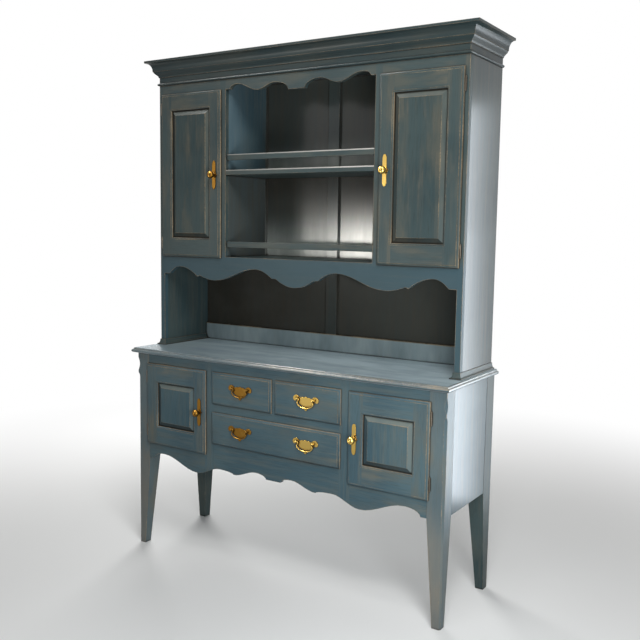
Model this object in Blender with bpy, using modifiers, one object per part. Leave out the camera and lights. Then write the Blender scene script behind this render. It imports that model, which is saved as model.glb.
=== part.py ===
"""A painted china cabinet in two parts: a base with two doors and three drawers on tapered legs,
and a hutch with two cupboards, open shelves and a serving space. Front faces -Y, floor at Z = 0."""

import math

import bmesh
import bpy
from mathutils import Matrix, Vector

for old in list(bpy.data.objects):
    bpy.data.objects.remove(old, do_unlink=True)

MM = 0.001

# Fits
GAP = 0.3 * MM  # between boards that meet
LIP = 6.5 * MM  # how far a lipped door or drawer front covers its frame
LIP_THICK = 9.5 * MM
BLOCK = 8.0 * MM  # the part of a lipped front that enters its opening
DOOR_CLEAR = 1.8 * MM
DOOR_STANDOFF = 1.5 * MM  # room for a hinge wing behind the door's lip
DRAWER_CLEAR = 1.5 * MM
DRAWER_LIFT = 1.0 * MM

# Boards
BOARD = 19 * MM
FRAME_THICK = 19 * MM
PARTITION = 16 * MM
BACK_SHEET = 9 * MM

# Base
BASE_WIDTH = 1376 * MM
BASE_DEPTH = 412 * MM
BASE_HEIGHT = 826 * MM
TOP_THICK = 21.5 * MM
TOP_SIDE_OVERHANG = 16 * MM
TOP_FRONT_OVERHANG = 24 * MM
LEG = 61.5 * MM
REAR_LEG_DEPTH = 66 * MM
FOOT = 31 * MM
FOOT_REAR_DEPTH = 34 * MM
LEG_CLEAR = 375 * MM  # height where the taper begins
LEG_CHAMFER = 8.5 * MM
SIDE_BOTTOM = 378 * MM
SIDE_GROOVE = 2.5 * MM
BASE_TOP_RAIL = 44.5 * MM
APRON_TOP = 440.5 * MM
APRON_RAIL = 47.3 * MM
DRAWER_RAIL = 43.5 * MM
DRAWER_BANK = 568.8 * MM
BASE_STILE = 44.6 * MM
MUNTIN = 28.4 * MM
LEDGE = 14 * MM
LEDGE_THICK = 16 * MM
GUIDE_HEIGHT = 30 * MM

# Hutch
HUTCH_SIDE_SETBACK = 12.2 * MM  # behind the side of the base
HUTCH_SETBACK = 122.5 * MM
HUTCH_REAR_SETBACK = 5 * MM
HUTCH_SIDE = 21.5 * MM
HUTCH_STILE = 26.8 * MM
CENTRE_OPENING = 662 * MM
SERVING_HEIGHT = 377 * MM
CUPBOARD_HEIGHT = 638.7 * MM
HUTCH_TOP_RAIL = 43.3 * MM
SHELF_RISE = 338 * MM
SHELF_SETBACK = 20 * MM
PLATE_RAIL = 22.5 * MM
PLATE_RAIL_THICK = 12 * MM
PLATE_RAIL_RISE = 38 * MM
PLATE_RAIL_SETBACK = 8 * MM
BACK_INSET = 3 * MM
BACK_RECESS = 12 * MM
BACK_SINK = 2 * MM
BACK_STILE = 50 * MM
BACK_RAIL = 70 * MM
SHOE_HEIGHT = 22 * MM
SHOE_OUT = 12 * MM

# Cornice
FRIEZE_HEIGHT = 33 * MM
BEAD_HEIGHT = 11 * MM
BEAD_OUT = 7 * MM
CROWN_HEIGHT = 63 * MM
CROWN_OUT = 44 * MM
CEILING = 13 * MM
CEILING_RISE = 22 * MM  # from the top of the case to the ceiling board

# Doors and drawers
BASE_DOOR_STILE = 60 * MM
BASE_DOOR_TOP_RAIL = 76 * MM
BASE_DOOR_LOW_RAIL = 79 * MM
HUTCH_DOOR_STILE = 57.5 * MM
HUTCH_DOOR_TOP_RAIL = 68 * MM
HUTCH_DOOR_LOW_RAIL = 78 * MM
EDGE_ROUND = 8.5 * MM  # the rounded lip, seen from the front
EDGE_DROP = 6.5 * MM
QUIRK = 1.2 * MM
STICKING = 6 * MM
GROOVE_DEPTH = 9 * MM
GROOVE_FRONT = 9.5 * MM  # from the door's face to the panel groove
GROOVE_WIDE = 6.5 * MM
PANEL_BEVEL = 18 * MM
PANEL_STEP = 1.5 * MM
PANEL_SUNK = 1.5 * MM  # the field behind the door's face
DRAWER_BACK_ROOM = 22.4 * MM
DRAWER_WALL = 12 * MM
DRAWER_BOTTOM = 8 * MM
DRAWER_HEADROOM = 8 * MM

# Brass
PLATE_THICK = 2 * MM
HANDLE_HEIGHT = 110 * MM
HANDLE_WIDE = 16 * MM
HANDLE_INSET = 28 * MM  # from the door's edge to the knob
ROSE_WIDE = 32 * MM
KNOB = 29 * MM
KNOB_REACH = 33 * MM
PULL_WIDE = 109 * MM
POST_SPACING = 72 * MM
POST = 7.6 * MM
POST_REACH = 10.5 * MM
PULL_RISE = 12 * MM  # the posts above the middle of the drawer
BAIL_DROP = 31.5 * MM
BAIL_BULGE = 5 * MM
BAIL_WIRE = 4.6 * MM
BAIL_PIN = 3.6 * MM
PIN_CLEAR = 0.3 * MM
BAIL_OFF = 5.5 * MM  # the bail's axis in front of the plate
HINGE_LENGTH = 44 * MM
HINGE_BARREL = 5.4 * MM
HINGE_WING = 0.9 * MM
HINGE_WRAP = 12 * MM
HINGE_INSET = 56 * MM
HINGE_CLEAR = 0.5 * MM

# Levels and planes that follow from the sizes
HALF = BASE_WIDTH / 2
LEG_INNER = HALF - LEG
UNDER_TOP = BASE_HEIGHT - TOP_THICK
DOOR_TOP = UNDER_TOP - BASE_TOP_RAIL
WIDE_BOTTOM = APRON_TOP + APRON_RAIL
DRAWER_ROW = (DOOR_TOP - WIDE_BOTTOM - DRAWER_RAIL) / 2
PAIR_BOTTOM = DOOR_TOP - DRAWER_ROW
BANK = DRAWER_BANK / 2
BASE_DOOR_INNER = BANK + BASE_STILE
FRONT_REACH = DOOR_STANDOFF + LIP_THICK + KNOB_REACH
BASE_FACE = (FRONT_REACH - BASE_DEPTH) / 2
BACK = BASE_FACE + BASE_DEPTH
BASE_INSIDE = BASE_FACE + FRAME_THICK + GAP
BASE_REAR = BACK - BACK_SHEET - GAP

HUTCH_HALF = HALF - HUTCH_SIDE_SETBACK
HUTCH_INNER = HUTCH_HALF - HUTCH_SIDE
HUTCH_FACE = BASE_FACE + HUTCH_SETBACK
HUTCH_BACK = BACK - HUTCH_REAR_SETBACK
HUTCH_INSIDE = HUTCH_FACE + FRAME_THICK + GAP
HUTCH_FOOT = BASE_HEIGHT + GAP
HUTCH_FLOOR = BASE_HEIGHT + SERVING_HEIGHT
CUPBOARD_TOP = HUTCH_FLOOR + CUPBOARD_HEIGHT
CASE_TOP = CUPBOARD_TOP + HUTCH_TOP_RAIL
CEILING_UNDER = CASE_TOP + CEILING_RISE
CENTRE = CENTRE_OPENING / 2
HUTCH_DOOR_INNER = CENTRE + HUTCH_STILE
SHELF_TOP = HUTCH_FLOOR + SHELF_RISE
BACK_FRONT = HUTCH_BACK - BACK_INSET - BOARD
HUTCH_REAR = BACK_FRONT - GAP

PAINT = ((0.055, 0.105, 0.150), 0.38, 0.0)
BARE_WOOD = ((0.52, 0.36, 0.20), 0.6, 0.0)
BRASS = ((0.78, 0.56, 0.20), 0.22, 1.0)
DARK_BRASS = ((0.16, 0.12, 0.08), 0.4, 1.0)

cabinet = bpy.data.collections.new("china_cabinet")
bpy.context.scene.collection.children.link(cabinet)
cutters = bpy.data.collections.new("cutters")
bpy.context.scene.collection.children.link(cutters)


def add(name, data, finish, parent=None):
    """Puts mesh or curve data in the cabinet as one named piece with its own material."""
    piece = bpy.data.objects.new(name, data)
    cabinet.objects.link(piece)
    material = bpy.data.materials.new(name + "_finish")
    material.use_nodes = True
    shader = material.node_tree.nodes["Principled BSDF"]
    colour, roughness, metallic = finish
    shader.inputs["Base Color"].default_value = (*colour, 1.0)
    shader.inputs["Roughness"].default_value = roughness
    shader.inputs["Metallic"].default_value = metallic
    if data.materials:
        piece.material_slots[0].link = "OBJECT"
        piece.material_slots[0].material = material
    else:
        data.materials.append(material)
    piece.parent = parent
    return piece


def helper(name, data):
    """A cutter, or a shape that is joined to another; it isn't a piece of the cabinet."""
    shape = bpy.data.objects.new(name, data)
    cutters.objects.link(shape)
    shape.hide_render = True
    shape.display_type = "WIRE"
    return shape


def pivot(name, place):
    """An empty on a joint's axis, to carry the pieces that move together."""
    empty = bpy.data.objects.new(name, None)
    empty.location = place
    empty.empty_display_size = 0.05
    cabinet.objects.link(empty)
    return empty


def carry(piece, empty):
    """Hands a piece that was made in world coordinates to the empty that carries it."""
    piece.data.transform(Matrix.Translation(-empty.location))
    piece.parent = empty
    return piece


def box_mesh(name, x, y, z):
    """A board between pairs of coordinates."""
    body = bmesh.new()
    bmesh.ops.create_cube(body, size=1.0)
    size = Vector((x[1] - x[0], y[1] - y[0], z[1] - z[0]))
    middle = Vector((x[0] + x[1], y[0] + y[1], z[0] + z[1])) / 2
    bmesh.ops.scale(body, vec=size, verts=body.verts)
    bmesh.ops.translate(body, vec=middle, verts=body.verts)
    return finished_mesh(name, body)


def finished_mesh(name, body):
    bmesh.ops.recalc_face_normals(body, faces=body.faces)
    mesh = bpy.data.meshes.new(name)
    body.to_mesh(mesh)
    body.free()
    return mesh


def loft_mesh(name, rings, ring_frame=False):
    """A skin over rings of points. The end rings are capped, or joined to each other in a ring frame."""
    body = bmesh.new()
    rows = []
    for ring in rings:
        rows.append([body.verts.new(point) for point in ring])
    pairs = list(zip(rows, rows[1:]))
    if ring_frame:
        pairs.append((rows[-1], rows[0]))
    else:
        body.faces.new(rows[0])
        body.faces.new(rows[-1])
    for low, high in pairs:
        for i in range(len(low)):
            body.faces.new((low[i - 1], low[i], high[i], high[i - 1]))
    return finished_mesh(name, body)


def sweep_mesh(name, path, profile):
    """A moulding with mitred corners: profile points (outward, z) carried along a path of (x, y) points.
    Outward is to the right of the path."""
    sides = []
    for start, end in zip(path, path[1:]):
        along = (Vector(end) - Vector(start)).normalized()
        sides.append(Vector((along.y, -along.x)))
    rings = []
    for i, corner in enumerate(path):
        before = sides[max(i - 1, 0)]
        after = sides[min(i, len(sides) - 1)]
        out = (before + after) / (1 + before.dot(after))
        rings.append([(corner[0] + out.x * d, corner[1] + out.y * d, z) for d, z in profile])
    return loft_mesh(name, rings)


def flat_curve(name, outlines, thickness):
    """A flat board cut to an outline; further outlines are holes in it."""
    curve = bpy.data.curves.new(name, "CURVE")
    curve.dimensions = "2D"
    curve.fill_mode = "BOTH"
    curve.extrude = thickness / 2
    for points in outlines:
        spline = curve.splines.new("POLY")
        spline.points.add(len(points) - 1)
        for knot, (u, v) in zip(spline.points, points):
            knot.co = (u, v, 0, 1)
        spline.use_cyclic_u = True
    return curve


def front_board(name, outlines, y, finish):
    """A board whose outline is drawn in X and Z, from y[0] to y[1]."""
    board = add(name, flat_curve(name, outlines, y[1] - y[0]), finish)
    board.location.y = (y[0] + y[1]) / 2
    board.rotation_euler.x = math.pi / 2
    return board


def side_board(name, outlines, x, finish):
    """A board whose outline is drawn in Y and Z, from x[0] to x[1]."""
    board = add(name, flat_curve(name, outlines, x[1] - x[0]), finish)
    board.location.x = (x[0] + x[1]) / 2
    board.rotation_euler = (math.pi / 2, 0, math.pi / 2)
    return board


def level_board(name, outlines, z, finish):
    """A board whose outline is drawn in X and Y, from z[0] to z[1]."""
    board = add(name, flat_curve(name, outlines, z[1] - z[0]), finish)
    board.location.z = (z[0] + z[1]) / 2
    return board


def turned(name, profile, steps):
    """A lathe-turned shape about its own Z, from (radius, height) points listed from the top down."""
    mesh = bpy.data.meshes.new(name)
    points = [(radius, 0, height) for radius, height in profile]
    mesh.from_pydata(points, [(i, i + 1) for i in range(len(points) - 1)], [])
    shape = helper(name, mesh)
    screw = shape.modifiers.new("Screw", "SCREW")
    screw.steps = steps
    screw.render_steps = steps
    screw.use_merge_vertices = True
    screw.merge_threshold = 1e-5
    screw.use_smooth_shade = True
    return shape


def combine(shape, other, operation):
    cut = shape.modifiers.new(operation.title(), "BOOLEAN")
    cut.operation = operation
    cut.solver = "EXACT"
    cut.object = other


def settled(shape):
    """The mesh of a shape with its modifiers applied, so that several pieces can share it."""
    bpy.context.view_layer.update()
    graph = bpy.context.evaluated_depsgraph_get()
    mesh = bpy.data.meshes.new_from_object(shape.evaluated_get(graph))
    mesh.transform(shape.matrix_world)
    mesh.materials.clear()
    return mesh


def rect(x, z, y, grow=0.0):
    """A rectangle's corners in X and Z at depth y, grown outwards on every side."""
    left = min(x) - grow
    right = max(x) + grow
    low = z[0] - grow
    high = z[1] + grow
    return [(left, y, low), (right, y, low), (right, y, high), (left, y, high)]


def quarter(start, end, steps, first_axis):
    """Points after start on a quarter ellipse that leaves along axis 0 or 1 and arrives along the other."""
    points = []
    for i in range(1, steps + 1):
        angle = math.pi / 2 * i / steps
        share = [1 - math.cos(angle), math.sin(angle)]
        if first_axis == 0:
            share.reverse()
        u = start[0] + (end[0] - start[0]) * share[0]
        v = start[1] + (end[1] - start[1]) * share[1]
        points.append((u, v))
    return points


def eased(start, end, steps, rise):
    """Points after start at even steps of the first coordinate; the second follows the rise from 0 to 1."""
    points = []
    for i in range(1, steps + 1):
        share = i / steps
        u = start[0] + (end[0] - start[0]) * share
        points.append((u, start[1] + (end[1] - start[1]) * rise(share)))
    return points


def swing(share):
    return (1 - math.cos(math.pi * share)) / 2


def bowl(share):
    return share**2


def arch(share):
    return 1 - (1 - share) ** 2


EASING = {"swing": swing, "bowl": bowl, "arch": arch}


def scalloped(steps, half_span, level):
    """The lower edge of a shaped rail, left to right. Each step gives a share of the half span, the height
    of the edge against the level, and how the edge gets there from the step nearer the middle."""
    half = []
    for share, height, kind in steps:
        end = (share * half_span, level + height)
        if kind == "line":
            half.append(end)
            continue
        start = half[-1]
        if kind in EASING:
            half += eased(start, end, 7, EASING[kind])
        else:
            half += quarter(start, end, 5, 1 if kind == "crest" else 0)
    mirrored = [(-x, z) for x, z in reversed(half)]
    if half[0][0] == 0:
        mirrored.pop()
    return mirrored + half


APRON = (
    (0.053, -56.0 * MM, "line"),
    (0.128, -38.5 * MM, "crest"),
    (0.299, -65.5 * MM, "swing"),
    (0.411, -55.5 * MM, "crest"),
    (0.592, -89.5 * MM, "swing"),
    (0.871, -42.5 * MM, "swing"),
    (0.965, -68.0 * MM, "drop"),
    (1.000, -68.0 * MM, "line"),
)
TOP_VALANCE = (
    (0.109, -58.5 * MM, "line"),
    (0.305, -27.5 * MM, "crest"),
    (0.538, -49.0 * MM, "swing"),
    (0.831, -20.0 * MM, "swing"),
    (0.937, -37.0 * MM, "drop"),
    (1.000, -37.0 * MM, "line"),
)
MID_VALANCE = (
    (0.000, -106.0 * MM, "line"),
    (0.130, -76.0 * MM, "bowl"),
    (0.159, -76.0 * MM, "line"),
    (0.282, -43.5 * MM, "arch"),
    (0.588, -95.5 * MM, "swing"),
    (0.710, -78.5 * MM, "bowl"),
    (0.727, -84.0 * MM, "line"),
    (0.871, -46.0 * MM, "arch"),
    (0.957, -77.5 * MM, "bowl"),
    (1.000, -77.5 * MM, "line"),
)


def hole(x, z):
    return [(x[0], z[0]), (x[1], z[0]), (x[1], z[1]), (x[0], z[1])]


def both_sides():
    return (("left", -1), ("right", 1))


def span(a, b):
    return (min(a, b), max(a, b))


def make_legs():
    drop = UNDER_TOP - GAP
    # Chamfer of the outer front corner by distance below the top: a carved scoop, a full corner,
    # then a long chamfer.
    chamfers = [(0.0, 0.05), (20 * MM, 0.05)]
    for i in range(1, 8):
        chamfers.append(((20 + 54 * i / 8) * MM, 0.05 + 0.95 * math.sin(math.pi * i / 8)))
    chamfers += [(74 * MM, 0.05), (83 * MM, 0.05), (86 * MM, 0.35), (90 * MM, 0.75), (98 * MM, 1.0)]
    chamfers += [(drop - LEG_CLEAR, 1.0), (drop, 0.7)]
    for side, sign in both_sides():
        rings = []
        for below, share in chamfers:
            z = drop - below
            wide = LEG + (FOOT - LEG) * max(0.0, 1 - z / LEG_CLEAR)
            cut = LEG_CHAMFER * share
            outline = [(0, wide), (wide, wide), (wide, 0), (cut, 0), (0, cut)]
            rings.append([(sign * (HALF - u), BASE_FACE + v, z) for u, v in outline])
        add("front_leg_" + side, loft_mesh("front_leg_" + side, rings), PAINT)
        rings = []
        for z in (drop, LEG_CLEAR, 0.0):
            wide = FOOT if z == 0 else LEG
            deep = FOOT_REAR_DEPTH if z == 0 else REAR_LEG_DEPTH
            outline = [(0, 0), (wide, 0), (wide, deep), (0, deep)]
            rings.append([(sign * (HALF - u), BACK - v, z) for u, v in outline])
        add("rear_leg_" + side, loft_mesh("rear_leg_" + side, rings), PAINT)


def make_base_case():
    front = BASE_FACE + LEG + GAP
    rear = BACK - REAR_LEG_DEPTH - GAP
    under = UNDER_TOP - GAP
    for side, sign in both_sides():
        # The groove is a rebate in the panel's outer face where it meets the rear leg.
        outer = sign * HALF
        inner = sign * (HALF - BOARD)
        step = sign * (HALF - 2 * SIDE_GROOVE)
        plan = [(inner, front), (outer, front), (outer, rear - SIDE_GROOVE), (step, rear - SIDE_GROOVE)]
        plan += [(step, rear), (inner, rear)]
        level_board("base_side_" + side, [plan], (SIDE_BOTTOM, under), PAINT)

        face = sign * (BANK + DRAWER_LIFT)
        far = face + sign * PARTITION
        tip = face - sign * LEDGE
        section = [(far, APRON_TOP + GAP), (far, under), (face, under)]
        for opening in (PAIR_BOTTOM, WIDE_BOTTOM):
            top = opening + DRAWER_LIFT - GAP
            section += [(face, top), (tip, top), (tip, top - LEDGE_THICK), (face, top - LEDGE_THICK)]
        section.append((face, APRON_TOP + GAP))
        front_board("base_partition_" + side, [section], (BASE_INSIDE, BASE_REAR), PAINT)

    inside = LEG_INNER - GAP
    sheet = box_mesh("base_back", (-inside, inside), (BACK - BACK_SHEET, BACK), (SIDE_BOTTOM, under))
    add("base_back", sheet, PAINT)

    wall = HALF - BOARD - GAP
    corner = [(wall, front), (wall, rear), (inside, rear), (inside, BASE_REAR)]
    plan = [(inside, BASE_INSIDE), (inside, front)] + corner
    plan += [(-x, y) for x, y in reversed(plan)]
    level_board("base_floor", [plan], (APRON_TOP - BOARD, APRON_TOP), PAINT)

    guide = MUNTIN / 2
    ledge = guide + LEDGE
    top = PAIR_BOTTOM + DRAWER_LIFT - GAP
    section = [(-ledge, top - LEDGE_THICK), (ledge, top - LEDGE_THICK), (ledge, top), (guide, top)]
    section += [(guide, top + GUIDE_HEIGHT), (-guide, top + GUIDE_HEIGHT), (-guide, top), (-ledge, top)]
    front_board("drawer_centre_runner", [section], (BASE_INSIDE, BASE_REAR), BARE_WOOD)


def make_base_front():
    inside = LEG_INNER - GAP
    stile = BASE_DOOR_INNER
    outline = scalloped(APRON, inside, APRON_TOP)
    right = [(inside, APRON_TOP), (stile, APRON_TOP), (stile, DOOR_TOP), (inside, DOOR_TOP)]
    right.append((inside, UNDER_TOP - GAP))
    outline += right + [(-x, z) for x, z in reversed(right)]
    muntin = MUNTIN / 2
    holes = [
        hole((-BANK, BANK), (WIDE_BOTTOM, WIDE_BOTTOM + DRAWER_ROW)),
        hole((-BANK, -muntin), (PAIR_BOTTOM, DOOR_TOP)),
        hole((muntin, BANK), (PAIR_BOTTOM, DOOR_TOP)),
    ]
    front_board("base_face_frame", [outline] + holes, (BASE_FACE, BASE_FACE + FRAME_THICK), PAINT)


def make_base_top():
    nose = 0.36 * TOP_THICK
    edge = [(14 * MM, 0.0)]
    edge += quarter(edge[0], (0.0, nose), 5, 0)
    edge += quarter(edge[-1], (5 * MM, 0.66 * TOP_THICK), 4, 1)
    edge.append((6.5 * MM, 0.69 * TOP_THICK))
    edge += quarter(edge[-1], (13 * MM, TOP_THICK), 4, 1)
    rings = []
    for inset, rise in edge:
        x = HALF + TOP_SIDE_OVERHANG - inset
        y = BASE_FACE - TOP_FRONT_OVERHANG + inset
        z = UNDER_TOP + rise
        rings.append([(-x, y, z), (x, y, z), (x, BACK, z), (-x, BACK, z)])
    add("base_top", loft_mesh("base_top", rings), PAINT)


def make_hutch_case():
    top = CASE_TOP - GAP
    for side, sign in both_sides():
        x = span(sign * HUTCH_INNER, sign * HUTCH_HALF)
        name = "hutch_side_" + side
        add(name, box_mesh(name, x, (HUTCH_INSIDE, HUTCH_BACK), (HUTCH_FOOT, top)), PAINT)

        # The shoe runs round the foot of the side: outside, front edge and inside.
        fillet = 4 * MM
        profile = [(GAP, HUTCH_FOOT), (SHOE_OUT, HUTCH_FOOT), (SHOE_OUT, HUTCH_FOOT + fillet)]
        profile += quarter((SHOE_OUT - 2 * MM, HUTCH_FOOT + fillet), (3 * MM, HUTCH_FOOT + SHOE_HEIGHT), 5, 0)
        profile.append((GAP, HUTCH_FOOT + SHOE_HEIGHT))
        path = [(sign * HUTCH_HALF, HUTCH_BACK), (sign * HUTCH_HALF, HUTCH_FACE)]
        path += [(sign * HUTCH_INNER, HUTCH_FACE), (sign * HUTCH_INNER, HUTCH_REAR)]
        if sign > 0:
            path.reverse()
        add("hutch_shoe_" + side, sweep_mesh("hutch_shoe_" + side, path, profile), PAINT)

        # The shelf is half lapped into the partition: the slot runs from the front edge to the middle.
        middle = (HUTCH_INSIDE + HUTCH_REAR) / 2
        low = HUTCH_FLOOR + GAP
        slot = [(HUTCH_INSIDE, SHELF_TOP - BOARD - GAP), (middle, SHELF_TOP - BOARD - GAP)]
        slot += [(middle, SHELF_TOP + GAP), (HUTCH_INSIDE, SHELF_TOP + GAP)]
        high = CEILING_UNDER - GAP
        outline = [(HUTCH_INSIDE, low)] + slot + [(HUTCH_INSIDE, high), (HUTCH_REAR, high)]
        outline.append((HUTCH_REAR, low))
        x = span(sign * CENTRE, sign * (CENTRE + BOARD))
        side_board("hutch_partition_" + side, [outline], x, PAINT)

    wall = HUTCH_INNER - GAP
    depth = (HUTCH_INSIDE, HUTCH_REAR)
    floor = box_mesh("hutch_floor", (-wall, wall), depth, (HUTCH_FLOOR - BOARD, HUTCH_FLOOR))
    add("hutch_floor", floor, PAINT)

    inner = CENTRE - GAP
    outer = CENTRE + BOARD + GAP
    lap = (HUTCH_INSIDE + HUTCH_REAR) / 2 - GAP
    front = HUTCH_INSIDE + SHELF_SETBACK
    half = [(inner, HUTCH_FACE), (inner, front), (wall, front), (wall, HUTCH_REAR), (outer, HUTCH_REAR)]
    half += [(outer, lap), (inner, lap), (inner, HUTCH_REAR)]
    plan = half + [(-x, y) for x, y in reversed(half)]
    level_board("hutch_shelf", [plan], (SHELF_TOP - BOARD, SHELF_TOP), PAINT)

    face = HUTCH_FACE + PLATE_RAIL_SETBACK
    for name, board in (("plate_rail_upper", SHELF_TOP), ("plate_rail_lower", HUTCH_FLOOR)):
        low = board + PLATE_RAIL_RISE
        rail = box_mesh(name, (-inner, inner), (face, face + PLATE_RAIL_THICK), (low, low + PLATE_RAIL))
        add(name, rail, PAINT)


def make_hutch_front():
    top = CASE_TOP - GAP
    outline = scalloped(MID_VALANCE, HUTCH_INNER, HUTCH_FLOOR)
    right = [(HUTCH_INNER, HUTCH_FOOT), (HUTCH_HALF, HUTCH_FOOT), (HUTCH_HALF, top)]
    outline += right + [(-x, z) for x, z in reversed(right)]
    holes = [scalloped(TOP_VALANCE, CENTRE, CASE_TOP) + [(CENTRE, HUTCH_FLOOR), (-CENTRE, HUTCH_FLOOR)]]
    for _, sign in both_sides():
        holes.append(hole(span(sign * HUTCH_DOOR_INNER, sign * HUTCH_INNER), (HUTCH_FLOOR, CUPBOARD_TOP)))
    front_board("hutch_face_frame", [outline] + holes, (HUTCH_FACE, HUTCH_FACE + FRAME_THICK), PAINT)


def make_hutch_back():
    """One framed back: the fields between its stiles and rails are sunk from both faces."""
    wall = HUTCH_INNER - GAP
    rear = BACK_FRONT + BOARD
    high = CEILING_UNDER - GAP
    board = box_mesh("hutch_back", (-wall, wall), (BACK_FRONT, rear), (HUTCH_FOOT, high))
    back = add("hutch_back", board, PAINT)
    stile = BACK_STILE / 2
    far = wall + 10 * MM
    rows = [(HUTCH_FOOT + BACK_RAIL, HUTCH_FLOOR - BOARD, [(stile, far)])]
    columns = [(stile, CENTRE), (CENTRE + BOARD, far)]
    rows.append((HUTCH_FLOOR, SHELF_TOP - BOARD, columns))
    rows.append((SHELF_TOP, high + BOARD, columns))
    fields = bmesh.new()
    for low, top, across in rows:
        for near, away in across:
            for sign in (-1, 1):
                x = span(sign * near, sign * away)
                sunk = (BACK_FRONT - BOARD, BACK_FRONT + BACK_RECESS)
                for y in (sunk, (rear - BACK_SINK, rear + BOARD)):
                    field = box_mesh("field", x, y, (low, top))
                    fields.from_mesh(field)
                    bpy.data.meshes.remove(field)
    combine(back, helper("back_fields", finished_mesh("back_fields", fields)), "DIFFERENCE")


def make_cornice():
    """A lift-off cap: bead, frieze and crown mitred round three sides, with a ceiling board inside."""
    frieze = CASE_TOP + FRIEZE_HEIGHT
    peak = frieze + CROWN_HEIGHT
    profile = [(-FRAME_THICK, CASE_TOP), (0.0, CASE_TOP)]
    for i in range(1, 6):
        angle = math.pi * i / 6
        out = BEAD_OUT * math.sin(angle)
        profile.append((out, CASE_TOP + BEAD_HEIGHT * (1 - math.cos(angle)) / 2))
    profile += [(0.0, CASE_TOP + BEAD_HEIGHT), (0.0, frieze)]
    ogee = (0.07 * CROWN_OUT, frieze + 0.03 * CROWN_HEIGHT)
    shoulder = (0.41 * CROWN_OUT, frieze + 0.35 * CROWN_HEIGHT)
    cove = (0.46 * CROWN_OUT, frieze + 0.40 * CROWN_HEIGHT)
    lip = (0.91 * CROWN_OUT, frieze + 0.87 * CROWN_HEIGHT)
    profile += [(ogee[0], frieze), ogee]
    profile += [(u, v) for v, u in eased(ogee[::-1], shoulder[::-1], 6, swing)]
    profile += [(cove[0], shoulder[1]), cove] + quarter(cove, lip, 6, 1)
    profile += [(CROWN_OUT, lip[1]), (CROWN_OUT, peak), (-FRAME_THICK, peak)]
    path = [(-HUTCH_HALF, HUTCH_BACK), (-HUTCH_HALF, HUTCH_FACE)]
    path += [(-x, y) for x, y in reversed(path)]
    cornice = add("cornice", sweep_mesh("cornice", path, profile), PAINT)
    reach = HUTCH_HALF - FRAME_THICK / 2
    depth = (HUTCH_FACE + FRAME_THICK / 2, HUTCH_BACK - 1 * MM)
    ceiling = box_mesh("ceiling", (-reach, reach), depth, (CEILING_UNDER, CEILING_UNDER + CEILING))
    combine(cornice, helper("ceiling", ceiling), "UNION")


def lipped_edge(x, z, back, front):
    """Rings of a lipped edge, from the back of the lip round to the flat face."""
    rings = [rect(x, z, back)]
    turn = (0.0, front + EDGE_DROP + QUIRK)
    for inset, y in [turn] + quarter(turn, (EDGE_ROUND, front + QUIRK), 4, 1):
        rings.append(rect(x, z, y, -inset))
    rings.append(rect(x, z, front, -EDGE_ROUND - 0.4 * QUIRK))
    return rings


def make_door(name, face, opening_x, opening_z, hinge_sign, stile, rails):
    """A lipped frame round a raised panel, on an empty at its hinge axis."""
    lip_back = face - DOOR_STANDOFF
    front = lip_back - LIP_THICK
    x = span(*opening_x)
    lip_x = (x[0] - LIP, x[1] + LIP)
    lip_z = (opening_z[0] - LIP, opening_z[1] + LIP)
    hinge_edge = lip_x[1] if hinge_sign > 0 else lip_x[0]
    axis_x = hinge_edge + hinge_sign * (HINGE_BARREL / 2 + HINGE_CLEAR)
    axis_y = face - GAP - HINGE_BARREL / 2
    empty = pivot(name + "_axis", (axis_x, axis_y, (lip_z[0] + lip_z[1]) / 2))

    window_x = (lip_x[0] + stile, lip_x[1] - stile)
    window_z = (lip_z[0] + rails[0], lip_z[1] - rails[1])
    groove = front + GROOVE_FRONT
    behind = groove + GROOVE_WIDE
    rings = [rect(x, opening_z, face + BLOCK, -DOOR_CLEAR), rect(x, opening_z, lip_back, -DOOR_CLEAR)]
    rings += lipped_edge(lip_x, lip_z, lip_back, front)
    rings.append(rect(window_x, window_z, front, STICKING))
    start = (STICKING, front + QUIRK)
    for grow, y in [start] + quarter(start, (0.0, front + QUIRK + STICKING), 4, 0):
        rings.append(rect(window_x, window_z, y, grow))
    rings.append(rect(window_x, window_z, groove))
    rings.append(rect(window_x, window_z, groove, GROOVE_DEPTH))
    rings.append(rect(window_x, window_z, behind, GROOVE_DEPTH))
    rings.append(rect(window_x, window_z, behind))
    rings.append(rect(window_x, window_z, face + BLOCK))
    carry(add(name + "_frame", loft_mesh(name + "_frame", rings, ring_frame=True), PAINT), empty)

    tongue = GROOVE_DEPTH - 2 * GAP
    field = front + PANEL_SUNK
    rings = [
        rect(window_x, window_z, behind - GAP, tongue),
        rect(window_x, window_z, groove + GAP, tongue),
        rect(window_x, window_z, groove + GAP, -1 * MM),
        rect(window_x, window_z, field + PANEL_STEP, -PANEL_BEVEL),
        rect(window_x, window_z, field, -PANEL_BEVEL - 1 * MM),
    ]
    carry(add(name + "_panel", loft_mesh(name + "_panel", rings), PAINT), empty)

    lock = lip_x[0] + HANDLE_INSET if hinge_sign > 0 else lip_x[1] - HANDLE_INSET
    handle = add(name + "_handle", handle_mesh, BRASS, empty)
    handle.location = Vector((lock, front - GAP, empty.location.z)) - empty.location

    wing = hinge_meshes[hinge_sign]
    for where, z in (("upper", lip_z[1] - HINGE_INSET), ("lower", lip_z[0] + HINGE_INSET)):
        hinge = add(f"{name.replace('_door', '')}_hinge_{where}", wing, DARK_BRASS)
        hinge.location = (axis_x, axis_y, z)


def plate_shape(name, outline):
    """A brass back plate cut to an outline in X and Z, standing forward of Y = 0."""
    rings = []
    for y in (0.0, -PLATE_THICK):
        rings.append([(u, y, v) for u, v in outline])
    return helper(name, loft_mesh(name, rings))


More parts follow.
